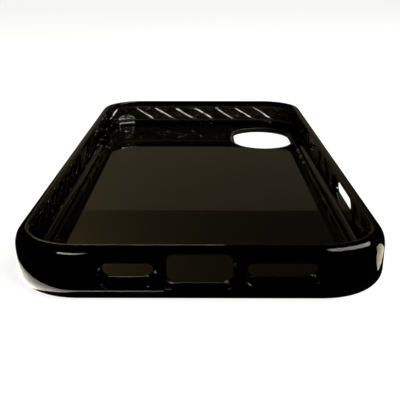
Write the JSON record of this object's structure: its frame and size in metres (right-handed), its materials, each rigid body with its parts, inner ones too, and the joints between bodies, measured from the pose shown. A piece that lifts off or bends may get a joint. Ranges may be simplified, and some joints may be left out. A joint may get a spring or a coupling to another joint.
{
  "type": "phone case",
  "caption": "Slim see-through smoke-tinted phone case: a hard back panel in a glossy bumper frame with a raised lip, ribbed shock liner, camera opening, port cut-outs and sliding key covers.",
  "frame": {"origin": "middle of the underside of the back, at the middle of the outer box in X and Y", "axes": "+Y along the case towards the camera end, +X to the right seen from the open face, +Z out of the open face"},
  "size_m": [0.076, 0.1482, 0.011],
  "materials": {
    "smoked_panel": "mirror-smooth smoke-tinted clear plastic",
    "smoked_frame": "glossy smoke-tinted flexible plastic",
    "ring_black": "satin black",
    "liner_smoke": "smooth translucent smoke-tinted elastomer",
    "key_smoke": "glossy smoke-tinted flexible plastic"
  },
  "bodies": {
    "shell": {"back_panel": "smoked_panel", "bumper_frame": "smoked_frame", "camera_ring": "ring_black", "liner_far_end": "liner_smoke", "liner_left_side": "liner_smoke", "liner_right_middle": "liner_smoke", "liner_right_lower": "liner_smoke", "corner_cushion_left": "liner_smoke", "corner_cushion_right": "liner_smoke"},
    "volume_up": {"volume_up_key": "key_smoke"},
    "volume_down": {"volume_down_key": "key_smoke"},
    "side": {"side_key": "key_smoke"}
  },
  "joints": [
    {"name": "volume_up_press", "type": "slide", "parent": "shell", "child": "volume_up", "axis": [1, 0, 0], "range_m": [0, 0.0004], "stiffness_N_per_m": 2500},
    {"name": "volume_down_press", "type": "slide", "parent": "shell", "child": "volume_down", "axis": [1, 0, 0], "range_m": [0, 0.0004], "stiffness_N_per_m": 2500},
    {"name": "side_press", "type": "slide", "parent": "shell", "child": "side", "axis": [-1, 0, 0], "range_m": [0, 0.0004], "stiffness_N_per_m": 2500}
  ]
}
